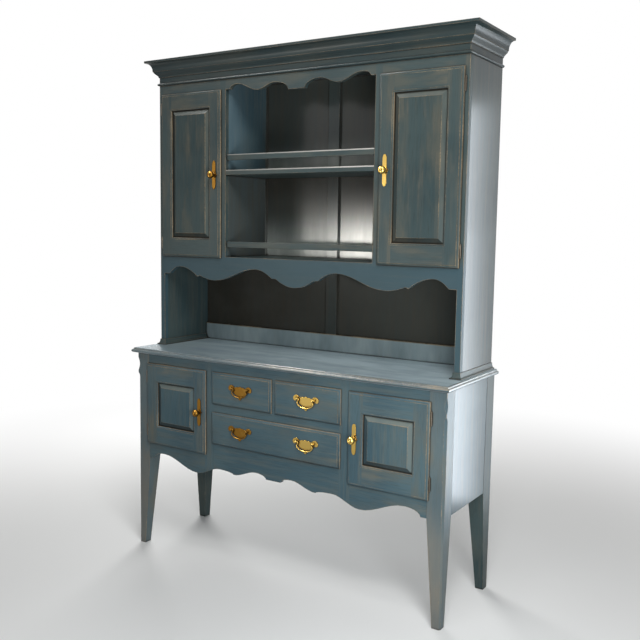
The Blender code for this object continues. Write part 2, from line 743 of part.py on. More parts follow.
def make_handle_mesh():
    """A narrow plate with pointed ends and a wider middle, and the knob that is screwed through it."""
    half = HANDLE_WIDE / 2
    tall = HANDLE_HEIGHT / 2
    rose = ROSE_WIDE / 2
    taper = 0.95 * HANDLE_WIDE
    side = [(half, -tall + taper), (half, -rose)]
    side += quarter(side[-1], (rose, 0.0), 4, 1)
    upper = [(u, -v) for u, v in reversed(side[:-1])]
    end = []
    for across, along in ((0.89, 0.42), (0.62, 0.78), (0.24, 0.97)):
        end.append((half * across, tall - taper + taper * along))
    end += [(-u, v) for u, v in reversed(end)]
    right = side + upper
    outline = right + end + [(-u, v) for u, v in reversed(right)] + [(-u, -v) for u, v in end]
    plate = plate_shape("handle_plate", outline)
    neck = 4.6 * MM
    ball = KNOB / 2
    rise = 0.36 * KNOB
    middle = KNOB_REACH - GAP - rise
    # A button in the middle of the knob's face, a groove round it, then the turned rim.
    profile = []
    for out, down in ((0.0, 0.0), (2.6, 0.2), (3.8, 1.2), (4.4, 2.8), (5.8, 2.8), (7.4, 1.5)):
        profile.append((out * MM, middle + rise - down * MM))
    for i in range(2, 8):
        angle = math.radians(90 - 22 * i)
        profile.append((ball * math.cos(angle), middle + rise * math.sin(angle)))
    collar = 9 * MM
    profile += [(neck, middle - rise - 1 * MM), (neck, 5 * MM)]
    profile += [(collar, 4 * MM), (collar, 1 * MM), (0.0, 1 * MM)]
    knob = turned("handle_knob", profile, 20)
    knob.rotation_euler.x = math.pi / 2
    combine(plate, knob, "UNION")
    return settled(plate)


def make_hinge_mesh(sign):
    """The barrel and the frame wing of a wrap-round hinge; its origin is the middle of the pin."""
    radius = HINGE_BARREL / 2
    half = HINGE_LENGTH / 2
    profile = [(0.0, half + 3 * MM), (1.6 * MM, half + 2.4 * MM), (2.0 * MM, half + 1.2 * MM)]
    profile += [(1.3 * MM, half), (radius, half - 0.6 * MM)]
    profile += [(r, -z) for r, z in reversed(profile)]
    barrel = turned("hinge_barrel", profile, 12)
    wing_high = half - 2 * MM
    edge = -sign * (radius + HINGE_CLEAR + LIP)
    face = span(0.0, edge - sign * (HINGE_WING + GAP))
    front = radius - HINGE_WING
    tall = (-wing_high, wing_high)
    wing = helper("hinge_wing", box_mesh("hinge_wing", face, (front, radius), tall))
    turn = span(edge - sign * GAP, edge - sign * (HINGE_WING + GAP))
    wrap = helper("hinge_wrap", box_mesh("hinge_wrap", turn, (front, radius + HINGE_WRAP), tall))
    combine(wing, wrap, "UNION")
    combine(wing, barrel, "UNION")
    return settled(wing)


def make_pull_mesh():
    """A bat-wing plate with its two posts, drilled for the bail. Its origin is midway between the posts."""
    ear = PULL_WIDE / 2
    post = POST_SPACING / 2
    half = [(0.0, 9.5 * MM), (4.5 * MM, 8.8 * MM), (8 * MM, 5.6 * MM), (11.5 * MM, 7.4 * MM)]
    half += [(16 * MM, 7.6 * MM), (20.5 * MM, 4.4 * MM), (25 * MM, 4 * MM), (post - 7 * MM, 7 * MM)]
    half += [(post - 2.5 * MM, 10.6 * MM), (post + 3 * MM, 12.4 * MM), (post + 9 * MM, 11.8 * MM)]
    half += [(ear - 4 * MM, 8.6 * MM), (ear - 0.5 * MM, 3.5 * MM), (ear, -2 * MM)]
    half += [(ear - 2.5 * MM, -7.2 * MM), (post + 11 * MM, -9.8 * MM), (post + 6.5 * MM, -8.8 * MM)]
    half.append((post + 4 * MM, -6.4 * MM))
    half += [(post + 1.5 * MM, -8.4 * MM), (post - 1 * MM, -12.5 * MM), (post - 6 * MM, -18 * MM)]
    half += [(post - 13 * MM, -22.4 * MM), (15 * MM, -25.5 * MM), (8.5 * MM, -28 * MM), (6 * MM, -31 * MM)]
    half += [(7 * MM, -35 * MM), (5 * MM, -39.5 * MM), (0.0, -42 * MM)]
    outline = half + [(-u, v) for u, v in reversed(half[1:-1])]
    plate = plate_shape("pull_plate", outline)
    reach = PLATE_THICK + POST_REACH
    radius = POST / 2
    profile = [(0.0, reach), (0.6 * radius, reach - 0.6 * MM), (radius, reach - 2.4 * MM)]
    profile += [(radius, PLATE_THICK + 3 * MM), (radius + 1.6 * MM, PLATE_THICK + 1.5 * MM)]
    profile += [(radius + 1.6 * MM, 1 * MM), (0.0, 1 * MM)]
    for sign in (-1, 1):
        stud = turned("pull_post", profile, 12)
        stud.location.x = sign * post
        stud.rotation_euler.x = math.pi / 2
        combine(plate, stud, "UNION")
        drill = bmesh.new()
        bore = BAIL_PIN / 2 + PIN_CLEAR
        bmesh.ops.create_cone(drill, cap_ends=True, segments=12, radius1=bore, radius2=bore, depth=POST)
        hollow = helper("pull_bore", finished_mesh("pull_bore", drill))
        hollow.rotation_euler.y = math.pi / 2
        hollow.location = (sign * (post - 0.3 * POST), -PLATE_THICK - BAIL_OFF, 0.0)
        combine(plate, hollow, "DIFFERENCE")
    return settled(plate)


def make_bail_curve():
    """A bail hanging below its axis; its turned-out ends enter the posts."""
    post = POST_SPACING / 2
    arm = post - POST / 2 - BAIL_WIRE / 2 - 1 * MM
    shoulder = 5 * MM
    belly = (arm + BAIL_BULGE, -0.42 * BAIL_DROP)
    half = [(post + 1 * MM, 0.0, BAIL_PIN), (arm + 1.2 * MM, 0.0, BAIL_PIN), (arm, -1.6 * MM, BAIL_PIN)]
    line = [(arm, -shoulder)]
    line += [(x, z) for z, x in eased((-shoulder, arm), belly[::-1], 4, swing)]
    line += quarter(belly, (0.0, -BAIL_DROP), 7, 1)
    for i, (x, z) in enumerate(line):
        half.append((x, z, BAIL_PIN + (BAIL_WIRE - BAIL_PIN) * i / (len(line) - 1)))
    points = half + [(-x, z, wire) for x, z, wire in reversed(half[:-1])]
    curve = bpy.data.curves.new("bail", "CURVE")
    curve.dimensions = "3D"
    curve.bevel_depth = 1.0
    curve.bevel_resolution = 3
    curve.use_fill_caps = True
    spline = curve.splines.new("POLY")
    spline.points.add(len(points) - 1)
    for knot, (x, z, wire) in zip(spline.points, points):
        knot.co = (x, 0.0, z, 1.0)
        knot.radius = wire / 2
    return curve


def make_drawer(name, opening_x, opening_z, pulls):
    """A lipped front on a box, carried by an empty at the middle of its front."""
    x = span(*opening_x)
    back = BASE_FACE - GAP
    front = back - LIP_THICK
    middle = (x[0] + x[1]) / 2
    height = (opening_z[0] + opening_z[1]) / 2
    empty = pivot(name + "_slide", (middle, front, height))
    lip_x = (x[0] - LIP, x[1] + LIP)
    lip_z = (opening_z[0] - LIP, opening_z[1] + LIP)
    block = BASE_FACE + BLOCK
    rings = [rect(x, opening_z, block, -DRAWER_CLEAR), rect(x, opening_z, back, -DRAWER_CLEAR)]
    rings += lipped_edge(lip_x, lip_z, back, front)
    carry(add(name + "_front", loft_mesh(name + "_front", rings), PAINT), empty)

    low = opening_z[0] + DRAWER_LIFT
    high = opening_z[1] - DRAWER_HEADROOM
    y = (block + GAP, BASE_REAR - DRAWER_BACK_ROOM)
    rings = []
    for z, inset in ((low, 0.0), (high, 0.0), (high, DRAWER_WALL), (low + DRAWER_BOTTOM, DRAWER_WALL)):
        left = x[0] + DRAWER_CLEAR + inset
        right = x[1] - DRAWER_CLEAR - inset
        near = y[0] + inset
        far = y[1] - inset
        rings.append([(left, near, z), (right, near, z), (right, far, z), (left, far, z)])
    carry(add(name + "_box", loft_mesh(name + "_box", rings), BARE_WOOD), empty)

    for suffix, across in pulls:
        place = Vector((across, front - GAP, height + PULL_RISE))
        plate = add(name + "_pull_plate" + suffix, pull_mesh, BRASS, empty)
        plate.location = place - empty.location
        bail = add(name + "_bail" + suffix, bail_curve, BRASS, empty)
        bail.location = place - empty.location - Vector((0, PLATE_THICK + BAIL_OFF, 0))


make_legs()
make_base_case()
make_base_front()
make_base_top()
make_hutch_case()
make_hutch_front()
make_hutch_back()
make_cornice()

handle_mesh = make_handle_mesh()
hinge_meshes = {sign: make_hinge_mesh(sign) for sign in (-1, 1)}
pull_mesh = make_pull_mesh()
bail_curve = make_bail_curve()

for side, sign in both_sides():
    base_x = (sign * BASE_DOOR_INNER, sign * LEG_INNER)
    base_z = (APRON_TOP, DOOR_TOP)
    base_rails = (BASE_DOOR_LOW_RAIL, BASE_DOOR_TOP_RAIL)
    make_door("base_door_" + side, BASE_FACE, base_x, base_z, sign, BASE_DOOR_STILE, base_rails)
    hutch_x = (sign * HUTCH_DOOR_INNER, sign * HUTCH_INNER)
    hutch_z = (HUTCH_FLOOR, CUPBOARD_TOP)
    hutch_rails = (HUTCH_DOOR_LOW_RAIL, HUTCH_DOOR_TOP_RAIL)
    make_door("hutch_door_" + side, HUTCH_FACE, hutch_x, hutch_z, sign, HUTCH_DOOR_STILE, hutch_rails)

pair_middle = (MUNTIN / 2 + BANK) / 2
for side, sign in both_sides():
    pair_x = (sign * MUNTIN / 2, sign * BANK)
    make_drawer("drawer_" + side, pair_x, (PAIR_BOTTOM, DOOR_TOP), [("", sign * pair_middle)])
wide_z = (WIDE_BOTTOM, WIDE_BOTTOM + DRAWER_ROW)
make_drawer("drawer_wide", (-BANK, BANK), wide_z, [("_left", -pair_middle), ("_right", pair_middle)])
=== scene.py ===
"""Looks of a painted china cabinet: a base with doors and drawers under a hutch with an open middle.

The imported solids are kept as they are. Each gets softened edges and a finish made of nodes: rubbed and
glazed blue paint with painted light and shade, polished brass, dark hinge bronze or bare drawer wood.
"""

import math
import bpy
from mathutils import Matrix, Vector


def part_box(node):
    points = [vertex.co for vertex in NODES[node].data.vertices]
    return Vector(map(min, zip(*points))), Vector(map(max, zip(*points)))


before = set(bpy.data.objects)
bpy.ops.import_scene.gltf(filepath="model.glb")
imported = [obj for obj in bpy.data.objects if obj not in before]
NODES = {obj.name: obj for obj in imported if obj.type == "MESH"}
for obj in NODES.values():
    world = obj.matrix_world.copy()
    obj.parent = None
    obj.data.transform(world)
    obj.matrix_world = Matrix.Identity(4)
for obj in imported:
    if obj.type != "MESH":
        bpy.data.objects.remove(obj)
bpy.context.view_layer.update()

from fnmatch import fnmatch

import bpy
from mathutils import Matrix, Vector

# Colours, as linear red, green and blue.
BASE_BLUES = ((0.054, 0.098, 0.120), (0.077, 0.126, 0.144), (0.108, 0.132, 0.126))
HUTCH_BLUES = ((0.038, 0.062, 0.066), (0.055, 0.081, 0.082), (0.083, 0.090, 0.079))
# Darker blues for the cornice, as painted shade.
SHADED_CORNICE_BLUES = ((0.025, 0.043, 0.047), (0.036, 0.056, 0.058), (0.056, 0.065, 0.058))
RAIL_BLUE = (0.040, 0.080, 0.100)
# Painted light on the back: warm, low in the open shelves.
WARM_BACK_LIGHT = (0.500, 0.535, 0.495)
RUBBED_WOOD = (0.33, 0.255, 0.160)
BROWN_WOOD = (0.165, 0.115, 0.070)
OLIVE_CLOUD = (0.125, 0.116, 0.086)
TAN_STREAK = (0.215, 0.172, 0.112)
WORN_LEG = (0.235, 0.205, 0.165)
# Painted light: the pale blue of the lit serving top and of the back's bottom rail.
LIT_PALE_BLUE = (0.450, 0.555, 0.585)
DUST = (0.76, 0.92, 1.0)
# A painted highlight along the top edges of the shelf and the upper plate rail.
RAIL_HIGHLIGHT = (0.80, 0.76, 0.70)
LIT_PARTITION = (0.115, 0.175, 0.205)
# Painted light on the upper and right bevels of the raised panels.
BASE_LIT_BEVEL = (0.190, 0.210, 0.185)
HUTCH_LIT_BEVEL = (0.130, 0.142, 0.125)
# Dark glazing, also used as painted shade in hollows, under lips and mouldings, and on the back.
DARK_GLAZE_AND_SHADE = (0.022, 0.017, 0.012)
# Smoked brown of the back's fields, also used as painted shade on the lower partitions.
SMOKED_AND_SHADED = (0.062, 0.060, 0.050)
BRASS = (0.54, 0.37, 0.100)
# Brass dulled by age and painted shade in its hollows and by a painted dim reflection at the left; the
# darker one for deep hollows.
AGED_SHADED_BRASS = (0.165, 0.082, 0.013)
DARK_BRASS = (0.045, 0.022, 0.006)
BRONZE = (0.110, 0.092, 0.072)
RUBBED_BRONZE = (0.30, 0.22, 0.13)
PALE_WOOD = (0.56, 0.40, 0.24)
GRAIN_WOOD = (0.36, 0.22, 0.11)
FLOOR_GREY = (0.80, 0.80, 0.79)
CLOUDED_GREY = (0.76, 0.76, 0.75)
FLOOR_BOUNCE = (0.35, 0.35, 0.34)
WHITE = (1.0, 1.0, 1.0)
COOL = (0.93, 0.97, 1.0)
SKY = (0.89, 0.965, 1.04)
WARM = (1.0, 0.97, 0.90)

# How far a board's figure is drawn out along its grain.
ALONG_X = (0.06, 1.0, 1.0)
ALONG_Y = (1.0, 0.06, 1.0)
ALONG_Z = (1.0, 1.0, 0.06)
ALONG_TOP = (0.30, 1.0, 1.0)
ALONG_SCRATCH = (1.0, 1.0, 0.15)

# How rough each painted piece is, and how deep its brush marks are.
PAINT_SATIN = 0.35
HUTCH_SATIN = 0.42
CORNICE_SATIN = 0.30
SIDE_SATIN = 0.21
TOP_SATIN = 0.22
BACK_SATIN = 0.17
PAINT_RELIEF = 0.10
SIDE_RELIEF = 0.03

# How shiny each painted piece is: its specular level, its coat or its film of dust.
PAINT_SHINE = 0.12
PANEL_SHINE = 0.06
CORNICE_SHINE = 0.14
SIDE_SHINE = 0.22
BACK_SHINE = 0.03
TOP_SHINE = 0.50
TOP_DUST = 0.42
BACK_GLOSS = 0.60

# Lengths in metres.
HAIR = 0.0004  # half the width of a sharp limit
SOFT = 0.001  # half the width of a softer one
LIP = 0.0065  # how far a door or a drawer front covers its frame
DOOR_STILES = {"base": 0.0600, "hutch": 0.0575}  # how wide the stiles of the doors are
JOINT_REACH = 0.006  # how far the paint stays whole on either side of a flush joint
BACK_SKIN = 0.004  # how far in from a face of the hutch's back still counts as that face
BOTTOM_RAIL = 0.0687  # height of the back's bottom rail up to its arris
LEDGE_REACH = 0.0025  # half the height of the rub along that arris
# Where the painted highlight on a board's front arris begins and is full under its top, and fades behind its
# front.
ARRIS_TOPS = {"plate_rail_upper": (0.0050, 0.0020), "hutch_shelf": (0.0055, 0.0025)}
ARRIS_FRONT = (0.0020, 0.0035)
NOSE_FADE = (0.006, 0.016)  # in from its edge, where the rub on the top's moulding fades
MARGIN_FADE = (0.0015, 0.0060)  # in from the frame, where the dark glazing and painted shade on a panel thin
SCUFF_FADE = (0.25, 0.46)  # heights over which the scuffs on the legs fade
UPPER_FADE = (0.009, 0.159)  # heights above the shelf over which the painted light on the back fades
LOWER_FADE = (0.027, 0.197)  # the same above the hutch's floor
RAIL_FADE = (1.19, 1.24)  # heights over which the blue of the middle rail fades
PARTITION_FADE = (-0.06, 0.14)  # from front to rear, where the painted light on a partition fades
SHELF_SHADE = (1.33, 1.52)  # heights over which the shade under the shelf grows
HOLLOW_REACH = 0.012  # how near a neighbour must be for dark glazing and painted shade to gather
BRASS_REACH = 0.011  # and for brass to darken
PAINT_ROUND = 0.0045  # radii that find the edges where a finish is rubbed, or soften them
BRASS_ROUND = 0.0009
HINGE_ROUND = 0.0015
BRUSH_DEPTH = 0.0006  # depths of brush marks and grain, of scratches and of rough metal
SCRATCH_DEPTH = 0.0003
CAST_DEPTH = 0.0004

# Lines from left to right, or from front to rear, between which an effect grows.
EDGE_SPAN = (-0.6, 0.5)
# Where the painted light on the serving top grows, across it and from front to rear.
LIT_SPAN = (-0.5, 0.2)
LIT_DEPTH = (-0.12, 0.12)
SHADED_SPAN = (-0.5, 0.5)
# Where the painted highlight on the rails grows, from left to right.
HIGHLIGHT_SPAN = (-0.40, 0.30)
# Where the painted dim reflection on the brass fades, from left to right.
DIM_BRASS_SPAN = (-0.25, 0.30)

# How far a surface must face a way, from where a mask begins to where it is full.
NOSE_TURN = (-0.10, 0.35)
LEVEL_TURN = (0.97, 0.995)
FRONT_TURN = (0.5, 0.9)
UNDER_TURN = (0.15, 0.60)
BEVEL_TURN = (0.15, 0.33)
FLAT_TURN = (0.62, 0.97)
LIP_TURN = (0.2, 0.7)

# Levels and lines of the cabinet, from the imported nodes.
BACK_LOW, BACK_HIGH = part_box("hutch_back")
SHELF_LOW, SHELF_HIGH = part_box("hutch_shelf")
FLOOR_LOW, FLOOR_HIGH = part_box("hutch_floor")
FIELD_FACE = BACK_LOW.y + BACK_SKIN
REAR_FACE = BACK_HIGH.y - BACK_SKIN
LEDGE = BACK_LOW.z + BOTTOM_RAIL
SHELF_MIDDLE = (SHELF_LOW.z + SHELF_HIGH.z) / 2
FLOOR_MIDDLE = (FLOOR_LOW.z + FLOOR_HIGH.z) / 2
OPEN_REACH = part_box("hutch_partition_right")[0].x
HUTCH_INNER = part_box("hutch_side_right")[0].x
HUTCH_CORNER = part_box("hutch_side_right")[0].y

# The figures in the paint: how far each is drawn out along the grain, and its scale, detail and roughness.
FIGURES = {
    "cloud": (0.4, 13.0, 3.0, 0.58),
    "drift": (0.0, 3.1, 2.0, 0.5),
    "patch": (0.0, 8.0, 3.0, 0.6),
    "streak": (1.0, 48.0, 4.0, 0.62),
    "brush": (1.0, 330.0, 3.0, 0.6),
    "speck": (0.0, 150.0, 3.0, 0.7),
}


class Socket:
    """One output of a node; arithmetic on it adds Math nodes to its finish."""

    def __init__(self, finish, plug):
        self.finish = finish
        self.plug = plug

    def __add__(self, other):
        return self.finish.math("ADD", self, other)

    __radd__ = __add__

    def __sub__(self, other):
        return self.finish.math("SUBTRACT", self, other)

    def __rsub__(self, other):
        return self.finish.math("SUBTRACT", other, self)

    def __mul__(self, other):
        return self.finish.math("MULTIPLY", self, other)

    __rmul__ = __mul__

    def __pow__(self, other):
        return self.finish.math("POWER", self, other)

    def __rpow__(self, other):
        return self.finish.math("POWER", other, self)

    def __neg__(self):
        return self.finish.math("MULTIPLY", self, -1.0)

    def __abs__(self):
        return self.finish.math("ABSOLUTE", self)


class Finish:
    """The nodes of one material or of the world."""

    def __init__(self, owner):
        owner.use_nodes = True
        self.tree = owner.node_tree
        self.tree.nodes.clear()

    def node(self, kind, settings=None, sockets=None, out=0):
        """Adds a node, sets it up, fills or links its sockets, and gives one of its outputs."""
        made = self.tree.nodes.new("ShaderNode" + kind)
        for name, value in (settings or {}).items():
            setattr(made, name, value)
        for name, value in (sockets or {}).items():
            target = made.inputs[name]
            if isinstance(value, Socket):
                self.tree.links.new(value.plug, target)
            elif target.type == "RGBA":
                target.default_value = (*value, 1.0)
            else:
                target.default_value = value
        return Socket(self, made.outputs[out]) if made.outputs else None

    def math(self, operation, first, second=0.0):
        return self.node("Math", {"operation": operation}, {0: first, 1: second})

    def larger(self, first, second):
        return self.math("MAXIMUM", first, second)

    def smaller(self, first, second):
        return self.math("MINIMUM", first, second)

    def step(self, value, low, high):
        """0 below low, 1 above high, smooth between."""
        limits = {"Value": value, "From Min": low, "From Max": high}
        return self.node("MapRange", {"interpolation_type": "SMOOTHSTEP"}, limits)

    def above(self, value, level, soft=HAIR):
        """0 below the level and 1 above it, with that softness either side."""
        return self.step(value, level - soft, level + soft)

    def between(self, value, low, high):
        """1 where the value lies between the two, with a hair's softness."""
        return self.above(value, low) * (1.0 - self.above(value, high))

    def colour(self, share, first, second):
        """The first colour where share is 0, the second where it is 1."""
        return self.node("Mix", {"data_type": "RGBA"}, {0: share, 6: first, 7: second}, out=2)

    def vector(self, share, first, second):
        """The first vector where share is 0, the second where it is 1."""
        return self.node("Mix", {"data_type": "VECTOR"}, {0: share, 4: first, 5: second}, out=1)

    def stretch(self, place, factors):
        """The place, scaled along each axis."""
        return self.node("VectorMath", {"operation": "MULTIPLY"}, {0: place, 1: factors})

    def noise(self, place, scale, detail=2.0, roughness=0.5):
        sockets = {"Vector": place, "Scale": scale, "Detail": detail, "Roughness": roughness}
        return self.node("TexNoise", None, sockets)

    def axes(self, place):
        """The three parts of a vector."""
        plugs = self.node("SeparateXYZ", None, {0: place}).plug.node.outputs
        return [Socket(self, plug) for plug in plugs]

    def place(self):
        """Where a point of the surface is, in metres in the cabinet's own frame."""
        return self.node("TexCoord", out="Object")

    def facing(self):
        """How far the surface faces right, rear and up, each from -1 to 1."""
        return self.axes(self.node("TexCoord", out="Normal"))

    def hollow(self, reach):
        """High where other surfaces stand within that reach."""
        return 1.0 - self.node("AmbientOcclusion", {"samples": 8}, {"Distance": reach}, out="AO")

    def rounded(self, radius):
        """The normal of the surface as if its edges were rounded."""
        return self.node("Bevel", {"samples": 8}, {"Radius": radius})

    def turn_at_edge(self, radius):
        """0 on flat faces, and higher the more that rounded edges turn away from them."""
        sockets = {0: self.rounded(radius), 1: self.node("NewGeometry", out="Normal")}
        return 1.0 - self.node("VectorMath", {"operation": "DOT_PRODUCT"}, sockets, out="Value")

    def bumped(self, height, strength, distance, normal=None):
        """The normal of the surface, or that normal, roughened by the height."""
        sockets = {"Strength": strength, "Distance": distance, "Height": height}
        if normal:
            sockets["Normal"] = normal
        return self.node("Bump", None, sockets)

    def surface(self, sockets):
        """The shader and the output."""
        shader = self.node("BsdfPrincipled", None, sockets)
        self.node("OutputMaterial", None, {"Surface": shader})


def new_finish(name):
    """A new material and its empty nodes."""
    material = bpy.data.materials.new(name)
    return material, Finish(material)


# Masks for the boards. Each takes a finish and the place, and gives how much of something lies there.
def door_window(unit):
    """The middle and the half width of the window in the right door of the base or the hutch."""
    low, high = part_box(unit + "_door_right_frame")
    return (low.x + high.x) / 2, (high.x - low.x) / 2 - DOOR_STILES[unit]


def door_uprights(unit):
    """A mask, 1 on the stiles of a pair of doors."""
    middle, reach = door_window(unit)

    def mask(finish, place):
        across = abs(finish.axes(place)[0])
        return finish.above(abs(across - middle), reach)

    return mask


def base_uprights(finish, place):
    """1 on the upright members of the base's face frame, between the drawers and the doors."""
    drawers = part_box("drawer_wide_front")[1].x - LIP
    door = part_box("base_door_right_frame")[0].x + LIP
    return finish.between(abs(finish.axes(place)[0]), drawers, door)


def hutch_uprights(finish, place):
    """1 on the upright members of the hutch's face frame, beside the open middle and at the ends."""
    across, _, height = finish.axes(place)
    across = abs(across)
    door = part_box("hutch_door_right_frame")[0].x + LIP
    inner = finish.between(across, OPEN_REACH, door) * finish.above(height, FLOOR_HIGH.z)
    return finish.larger(inner, finish.above(across, HUTCH_INNER))


def frame_ends(finish, place):
    """1 where the base's face frame runs flush into the legs."""
    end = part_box("base_face_frame")[1].x - JOINT_REACH
    return finish.above(abs(finish.axes(place)[0]), end)


def leg_joints(finish, place):
    """1 where a leg runs flush into the face frame and the side."""
    across, deep, height = finish.axes(place)
    low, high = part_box("front_leg_right")
    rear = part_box("rear_leg_right")[0].y
    side_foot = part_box("base_side_right")[0].z
    inner = 1.0 - finish.above(abs(across), low.x + JOINT_REACH)
    side = finish.between(deep, high.y - JOINT_REACH, rear + JOINT_REACH)
    return finish.larger(inner, side) * finish.above(height, side_foot - JOINT_REACH, SOFT)


def corner_joint(finish, place):
    """1 where the hutch's face frame and side meet flush."""
    deep = finish.axes(place)[1]
    return finish.between(deep, HUTCH_CORNER - JOINT_REACH, HUTCH_CORNER + JOINT_REACH)


def everywhere(finish, place):
    """1 all over."""
    return 1.0


def top_edge(finish, place):
    """How rubbed the moulded front and ends of the base's top are: above the nose, and most at the right."""
    low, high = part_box("base_top")
    across, deep, _ = finish.axes(place)
    inward = finish.smaller(high.x - abs(across), deep - low.y)
    upward = finish.step(finish.facing()[2], *NOSE_TURN)
    amount = 0.30 + 0.42 * finish.step(across, *EDGE_SPAN)
    return amount * upward * (1.0 - finish.step(inward, *NOSE_FADE))


def lit_serving_face(finish, place):
    """Painted light on the level face of the base's top, in blotches: most behind and to the right."""
    across, deep, _ = finish.axes(place)
    level = finish.step(finish.facing()[2], *LEVEL_TURN)
    amount = 0.34 + 0.64 * finish.step(across, *LIT_SPAN) + 0.43 * finish.step(deep, *LIT_DEPTH)
    blotch = finish.noise(finish.stretch(place, ALONG_TOP), 11.0, 4.0, 0.65)
    return level * amount * (1.0 + 2.6 * (blotch - 0.5))


def lower_legs(finish, place):
    """High low on the legs' fronts, scuffed by feet and brooms, and less above and round the sides."""
    front = finish.step(-finish.facing()[1], *FRONT_TURN)
    return (0.20 + 0.60 * front) * (1.0 - 0.75 * finish.step(finish.axes(place)[2], *SCUFF_FADE))


def front_of_back(finish, deep):
    """1 on the front of the hutch's back and 0 on its rear."""
    return 1.0 - finish.above(deep, REAR_FACE, SOFT)


def sunk_fields(finish, place):
    """1 on the back's sunk fields, some on its stiles and rails, and less where painted light lies low in
    the shelves.
    """
    _, deep, height = finish.axes(place)
    field = 0.55 + 0.45 * finish.above(deep, FIELD_FACE, SOFT)
    unwiped = finish.larger(finish.above(height, LEDGE, SOFT), finish.above(deep, REAR_FACE, SOFT))
    return field * unwiped * (1.0 - 0.9 * low_shelf_light(finish, place))


def low_shelf_light(finish, place):
    """High low on the back of the two open shelves, as painted light."""
    across, deep, height = finish.axes(place)
    over_shelf = height - SHELF_HIGH.z
    over_floor = height - FLOOR_HIGH.z
    upper = finish.above(over_shelf, 0.0, SOFT) * (1.0 - finish.step(over_shelf, *UPPER_FADE))
    lower = finish.above(over_floor, SOFT, SOFT) * (1.0 - finish.step(over_floor, *LOWER_FADE))
    middle = 1.0 - finish.above(abs(across), OPEN_REACH, SOFT)
    return (0.65 * upper + lower) * middle * front_of_back(finish, deep)


def back_ledge(finish, place):
    """1 along the top of the back's bottom rail, on its front."""
    _, deep, height = finish.axes(place)
    ledge = finish.between(height, LEDGE - LEDGE_REACH, LEDGE + LEDGE_REACH)
    return ledge * front_of_back(finish, deep)


def under_shelf(finish, height):
    """1 close under the shelf, fading downward."""
    return finish.step(height, *SHELF_SHADE) * (1.0 - finish.above(height, SHELF_MIDDLE))


def shaded_back(finish, place):
    """Painted shade on the back: behind the serving space, most at the left, and under the shelf."""
    across, deep, height = finish.axes(place)
    serving = finish.between(height, LEDGE + SOFT, FLOOR_MIDDLE)
    serving = serving * (0.70 - 0.40 * finish.step(across, *SHADED_SPAN))
    return front_of_back(finish, deep) * finish.larger(serving, 0.65 * under_shelf(finish, height))


def behind_shelves(finish, place):
    """1 on the back of the open shelves and cupboards, which kept its gloss, and less under the shelf."""
    _, deep, height = finish.axes(place)
    over_floor = finish.above(height, FLOOR_MIDDLE)
    return over_floor * front_of_back(finish, deep) * (1.0 - 0.75 * under_shelf(finish, height))


def painted_back_light(finish, place):
    """Painted light on the back: high on its bottom rail, and low in the two open shelves."""
    _, deep, height = finish.axes(place)
    rail = (1.0 - finish.above(height, LEDGE, SOFT)) * front_of_back(finish, deep)
    return finish.larger(0.62 * rail, 1.15 * low_shelf_light(finish, place))


def back_light_tone(finish, place):
    """The colour of the painted light on the back: blue on the bottom rail, warmer in the open shelves."""
    return finish.colour(finish.above(finish.axes(place)[2], FLOOR_MIDDLE), LIT_PALE_BLUE, WARM_BACK_LIGHT)


def shaded_lower_partition(finish, place):
    """1 on a partition beside the lower open shelf, darkened with the back's smoked tone as painted shade.
    """
    return finish.between(finish.axes(place)[2], FLOOR_MIDDLE, SHELF_MIDDLE)


def lit_partition_front(finish, place):
    """1 at the front of a partition beside the upper open shelf, where painted light makes its blue clearer.
    """
    _, deep, height = finish.axes(place)
    return finish.above(height, SHELF_MIDDLE, SOFT) * (1.0 - finish.step(deep, *PARTITION_FADE))


def front_arris(finish, place, board):
    """1 along the top front edge of the shelf or the upper plate rail."""
    _, deep, height = finish.axes(place)
    low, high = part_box(board)
    top = finish.step(height, *(high.z - drop for drop in ARRIS_TOPS[board]))
    return top * (1.0 - finish.step(deep, *(low.y + reach for reach in ARRIS_FRONT)))


def rail_highlights(finish, place):
    """Painted highlight along the top edges of the shelf and the upper plate rail: most at the right."""
    rail, shelf = [front_arris(finish, place, board) for board in ARRIS_TOPS]
    across = finish.axes(place)[0]
    return finish.larger(rail, shelf) * (0.30 + 0.80 * finish.step(across, *HIGHLIGHT_SPAN))


def frame_middle_rail(finish, place):
    """1 on the rail over the serving space, which is bluer."""
    return 1.0 - finish.step(finish.axes(place)[2], *RAIL_FADE)


def shaded_undersides(finish, place):
    """Painted shade, high on the undersides of lips and mouldings."""
    return 0.9 * finish.step(-finish.facing()[2], *UNDER_TURN)


def panel_margin(unit):
    """A mask for dark glazing and painted shade on a pair of raised panels: thick along the frame, and
    painted shade, less thick, on the lower and left bevels."""
    middle, reach = door_window(unit)
    low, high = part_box(unit + "_door_right_panel")
    tongue = (high.x - low.x) / 2 - reach

    def mask(finish, place):
        across, _, height = finish.axes(place)
        sideways = reach - abs(abs(across) - middle)
        upward = finish.smaller(0.5 * (height - (low.z + tongue)), (high.z - tongue) - height)
        margin = 0.9 - 0.9 * finish.step(finish.smaller(sideways, upward), *MARGIN_FADE)
        right, _, up = finish.facing()
        # Painted shade on the lower and left bevels.
        below = 0.60 * finish.step(-up, *BEVEL_TURN)
        left = 0.30 * finish.step(-right, *BEVEL_TURN)
        return finish.larger(margin, below + left)

    return mask


def lit_bevels(finish, place):
    """Painted light on a raised panel's bevels: the top one, and less the right one."""
    right, _, up = finish.facing()
    return finish.step(up, *BEVEL_TURN) + 0.45 * finish.step(right, *BEVEL_TURN)


def moulded_edge(finish, place):
    """1 on the rounded lips and the sticking of doors and drawer fronts, which face neither front nor
    rear."""
    _, rear, up = finish.facing()
    lip = 1.0 - finish.step(abs(rear), *FLAT_TURN)
    return lip * (1.0 - 0.6 * finish.step(-up, *LIP_TURN))


